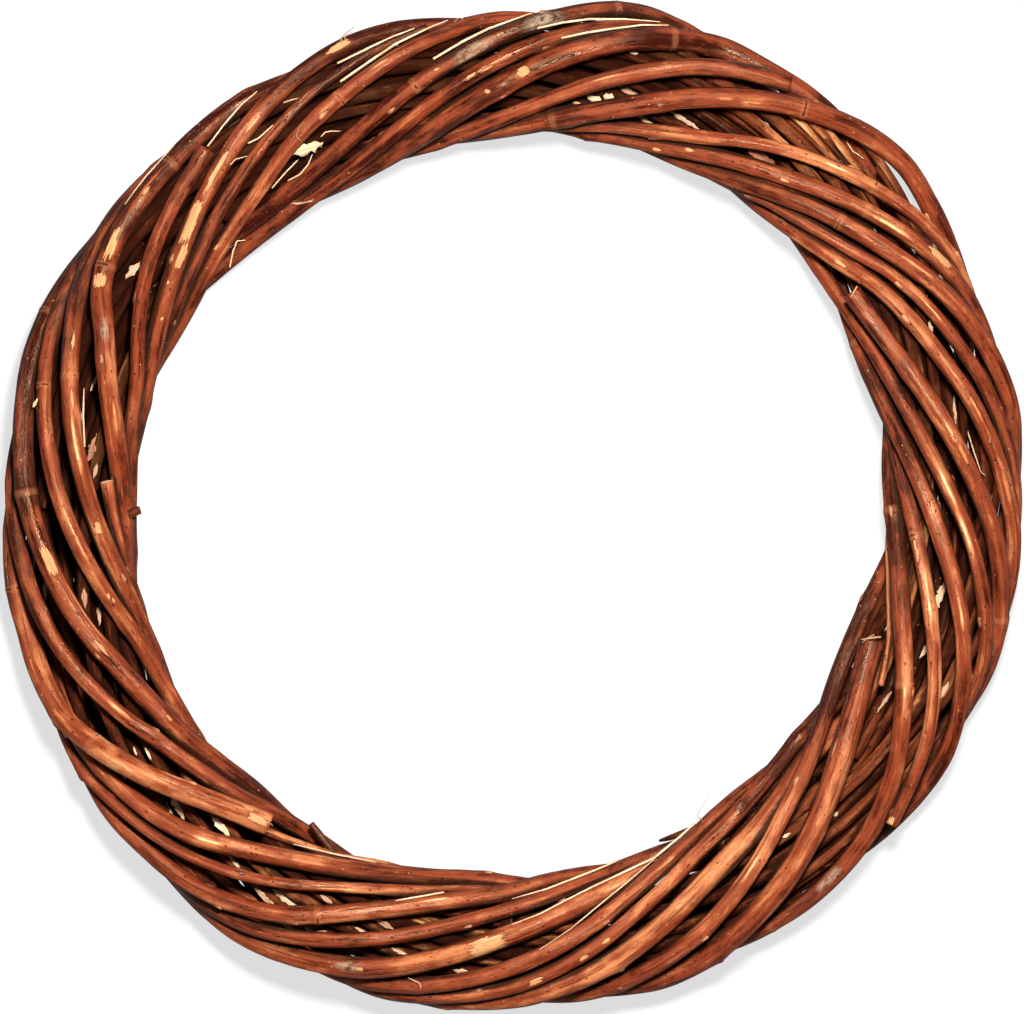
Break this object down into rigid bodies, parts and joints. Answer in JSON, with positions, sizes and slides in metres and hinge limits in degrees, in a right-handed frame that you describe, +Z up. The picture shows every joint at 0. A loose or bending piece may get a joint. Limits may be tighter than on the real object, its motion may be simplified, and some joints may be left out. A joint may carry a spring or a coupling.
{
  "type": "willow wreath",
  "caption": "Open ring of long willow rods wound round each other, with reddish bark, peeled spots and cut ends, lying flat.",
  "frame": {"origin": "on the table, under the middle of the wreath's outline", "axes": "+Z up through the hole, from the back that lies on the table to the front in the picture; +Y towards the top of the picture; +X to the picture's right"},
  "size_m": [0.3066, 0.3034, 0.04],
  "materials": {
    "willow_bark": "satin red-brown willow bark with pale bud scars, grey patches and peeled yellow-white wood",
    "shoot_bark": "satin lighter brown bark of thin shoots",
    "core_bark": "dull dark brown bark inside the band"
  },
  "bodies": {
    "root": {"rod_1": "willow_bark", "rod_2": "willow_bark", "rod_3": "willow_bark", "rod_4": "willow_bark", "rod_5": "willow_bark", "rod_6": "willow_bark", "rod_7": "willow_bark", "rod_8": "willow_bark", "rod_9": "willow_bark", "shoot_1": "shoot_bark", "shoot_2": "shoot_bark", "core_rod_1": "core_bark", "core_rod_2": "core_bark", "core_rod_3": "core_bark", "core_rod_4": "core_bark", "core_rod_5": "core_bark", "core_rod_6": "core_bark", "core_rod_7": "core_bark", "core_rod_8": "core_bark", "core_rod_9": "core_bark", "core_rod_10": "core_bark", "core_rod_11": "core_bark", "core_rod_12": "core_bark"}
  },
  "joints": []
}
